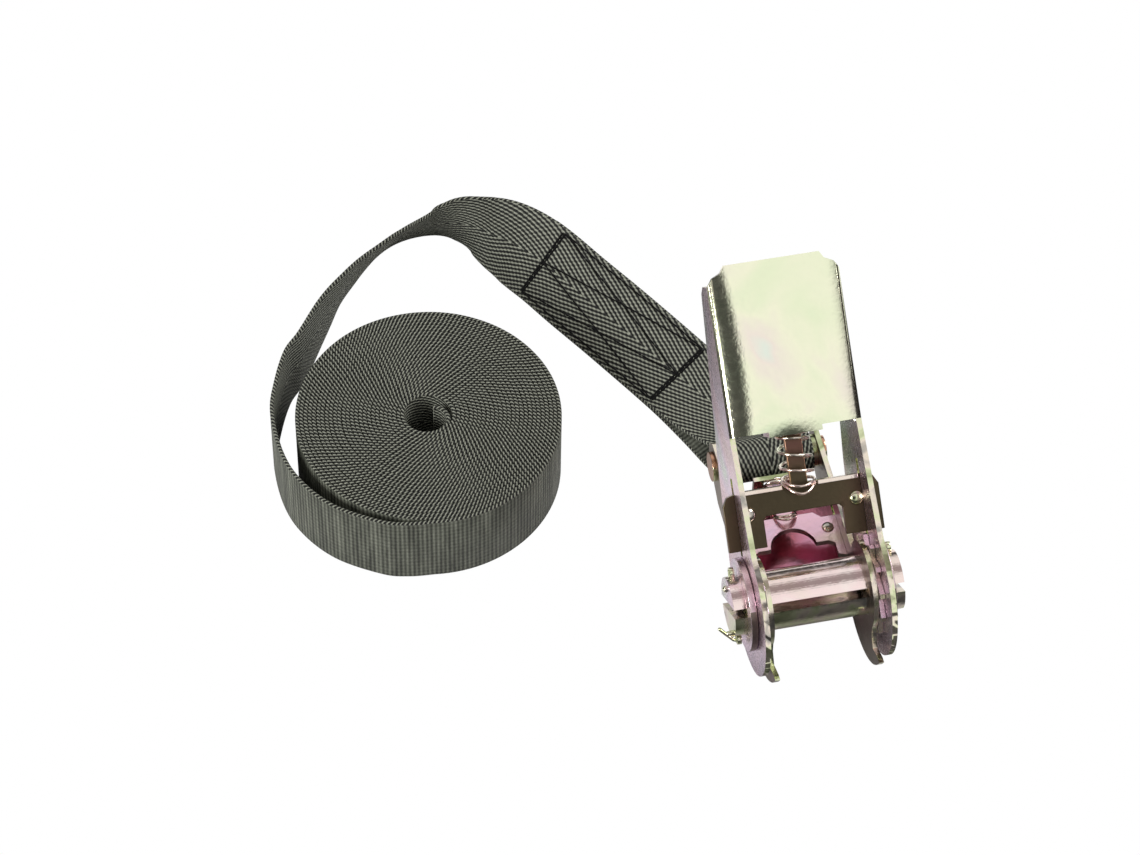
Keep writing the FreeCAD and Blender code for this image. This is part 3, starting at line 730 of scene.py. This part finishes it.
stitching = {
    "first": 21.0,
    "last": 25.0,
    "half": 10.7,
    "pitch": 2.6,
    "endPitch": 2.0,
    "height": 0.12,
    "overlap": 0.06,
}


def runSpot(place, offset, lift):
    index = min(range(len(run)), key=lambda item: abs(run[item][3] - place))
    index = min(max(index, 1), len(run) - 2)
    if run[index][3] > place:
        index -= 1
    low, high = run[index], run[index + 1]
    share = (place - low[3]) / (high[3] - low[3])
    spot = low[0].lerp(high[0], share)
    side = low[1].lerp(high[1], share)
    face = low[2].lerp(high[2], share)
    return spot + side * offset + face * (webbing["thick"] / 2 + lift)


def addStitch(mesh, start, end, radius):
    heading = (end - start)
    length = heading.length
    turn = heading.to_track_quat("Z", "Y").to_matrix().to_4x4()
    middle = (start + end) / 2
    shape = Matrix.Translation(middle * millimetre) @ turn @ Matrix.Diagonal((1, 1, length / (2 * radius), 1))
    bmesh.ops.create_icosphere(mesh, subdivisions=2, radius=radius * millimetre, matrix=shape)


def sewRow(mesh, start, end, radius, pitch):
    span = (runSpot(start[0], start[1], 0) - runSpot(end[0], end[1], 0)).length
    count = max(1, round(span / pitch))
    for step in range(count):
        shares = (step - stitching["overlap"]) / count, (step + 1 + stitching["overlap"]) / count
        ends = []
        for share in shares:
            place = start[0] + (end[0] - start[0]) * share
            offset = start[1] + (end[1] - start[1]) * share
            ends.append(runSpot(place, offset, stitching["height"]))
        addStitch(mesh, ends[0], ends[1], radius)


sewn = bmesh.new()
first, last, half = stitching["first"], stitching["last"], stitching["half"]
for nudge in (-0.03, 0.03):
    for place, radius in ((first, 0.38), (last, 0.42)):
        sewRow(sewn, (place + nudge, -half), (place + nudge, half), radius, stitching["endPitch"])
for start, end, radius in (
        (-half, -half, 0.27), (half, half, 0.27), (-half, 0, 0.26), (half, 0, 0.26),
        (0, -half, 0.26), (0, half, 0.26)):
    sewRow(sewn, (first, start), (last, end), radius, stitching["pitch"])
sewnMesh = bpy.data.meshes.new("box_stitch")
sewn.to_mesh(sewnMesh)
sewn.free()
for polygon in sewnMesh.polygons:
    polygon.use_smooth = True
stitches = bpy.data.objects.new("box_stitch", sewnMesh)
bpy.context.scene.collection.objects.link(stitches)
stitches.data.materials.append(threadMaterial)
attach(stitches, "base")
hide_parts("stitch_box")
print("stage: sewing")

# floor, light and camera

def grey(level):
    return level, level, level


def mixColor(tree, first, second, factor=1.0, kind="MULTIPLY"):
    node = addNode(tree, "ShaderNodeMix", data_type="RGBA", blend_type=kind)
    for index, item in ((0, factor), (6, first), (7, second)):
        if isinstance(item, (float, tuple)):
            node.inputs[index].default_value = item
        else:
            tree.links.new(item, node.inputs[index])
    return node.outputs[2]


floor = bpy.data.objects.new("floor", bpy.data.meshes.new("floor"))
floor.data.from_pydata([(-3, -3, 0), (3, -3, 0), (3, 3, 0), (-3, 3, 0)], [], [(0, 1, 2, 3)])
floor.data.transform(Matrix.Translation(point(0, 0, floorLevel - 0.02)))
bpy.context.scene.collection.objects.link(floor)
# white to the camera, and for other rays darker towards the front
floorMaterial, floorTree, floorShader = newMaterial("floor")
floorPlace = splitVector(floorTree, addNode(floorTree, "ShaderNodeTexCoord").outputs["Object"])
fromFront = mathNode(floorTree, "MULTIPLY_ADD", floorPlace[1], 11.0, 0.58)
floorTree.links.new(ramp(floorTree, fromFront, [(0.25, grey(0.05)), (0.7, grey(0.88))]),
                    floorShader.inputs["Base Color"])
floorShader.inputs["Roughness"].default_value = 0.9
rays = addNode(floorTree, "ShaderNodeLightPath")
white = addNode(floorTree, "ShaderNodeEmission", {"Color": (1, 1, 1, 1), "Strength": 1.0})
blend = addNode(floorTree, "ShaderNodeMixShader")
output = [item for item in floorTree.nodes if item.type == "OUTPUT_MATERIAL"][0]
floorTree.links.new(rays.outputs["Is Camera Ray"], blend.inputs[0])
floorTree.links.new(floorShader.outputs[0], blend.inputs[1])
floorTree.links.new(white.outputs[0], blend.inputs[2])
floorTree.links.new(blend.outputs[0], output.inputs[0])
floor.data.materials.append(floorMaterial)

# bright above and dark at the horizon, with a dim band and a dark spot for the metal to reflect
world = bpy.data.worlds.new("world")
bpy.context.scene.world = world
world.use_nodes = True
sky = world.node_tree
background = sky.nodes["Background"]
aim = addNode(sky, "ShaderNodeTexCoord").outputs["Generated"]
aimParts = splitVector(sky, aim)
level = ramp(sky, aimParts[2], [(0.0, grey(0.07)), (0.28, grey(0.10)), (0.46, grey(0.80)), (0.60, grey(1.0))])
depthwise = mathNode(sky, "MULTIPLY_ADD", aimParts[1], 0.5, 0.5)
overhead = ramp(sky, depthwise, [
    (0.22, grey(1.0)), (0.34, grey(0.95)), (0.46, (0.34, 0.30, 0.30)), (0.62, (0.36, 0.32, 0.32)),
    (0.74, grey(0.92))])
toward = addNode(sky, "ShaderNodeVectorMath", operation="DOT_PRODUCT")
sky.links.new(aim, toward.inputs[0])
toward.inputs[1].default_value = Vector((-0.34, -0.64, 0.69)).normalized()
spotShade = ramp(sky, toward.outputs["Value"], [(0.915, grey(1.0)), (0.97, grey(0.05))])
glow = mixColor(sky, mixColor(sky, level, overhead), spotShade)
isCamera = addNode(sky, "ShaderNodeLightPath").outputs["Is Camera Ray"]
sky.links.new(mixColor(sky, glow, (1, 1, 1, 1), isCamera, "MIX"), background.inputs[0])
background.inputs[1].default_value = 1.0


def addArea(name, spot, aim, size, power):
    light = bpy.data.lights.new(name, "AREA")
    light.shape = "RECTANGLE"
    light.size, light.size_y = size
    light.energy = power
    item = bpy.data.objects.new(name, light)
    item.location = spot
    item.rotation_euler = (Vector(aim) - Vector(spot)).to_track_quat("-Z", "Y").to_euler()
    bpy.context.scene.collection.objects.link(item)


addArea("lamp_left", (-1.2, -0.5, 0.6), (-0.04, 0.05, 0), (0.6, 0.6), 15)
addArea("lamp_right", (0.9, 0.3, 1.1), (-0.04, 0.05, 0), (0.6, 0.6), 12)

camera = bpy.data.objects.new("camera", bpy.data.cameras.new("camera"))
right = Vector((0.9779, -0.2088, 0.0129))
back = Vector((-0.1385, -0.5999, 0.788)).normalized()
upward = back.cross(right).normalized()
right = upward.cross(back).normalized()
turn = Matrix((right, upward, back)).transposed().to_4x4()
camera.matrix_world = Matrix.Translation(point(-211.0, -611.9, 895.5)) @ turn
camera.data.sensor_width = 36.0
camera.data.lens = 126.3
camera.data.clip_start = 0.01
camera.data.clip_end = 10
bpy.context.scene.collection.objects.link(camera)
bpy.context.scene.camera = camera
bpy.context.scene.view_settings.view_transform = "Standard"

print("stage: done")
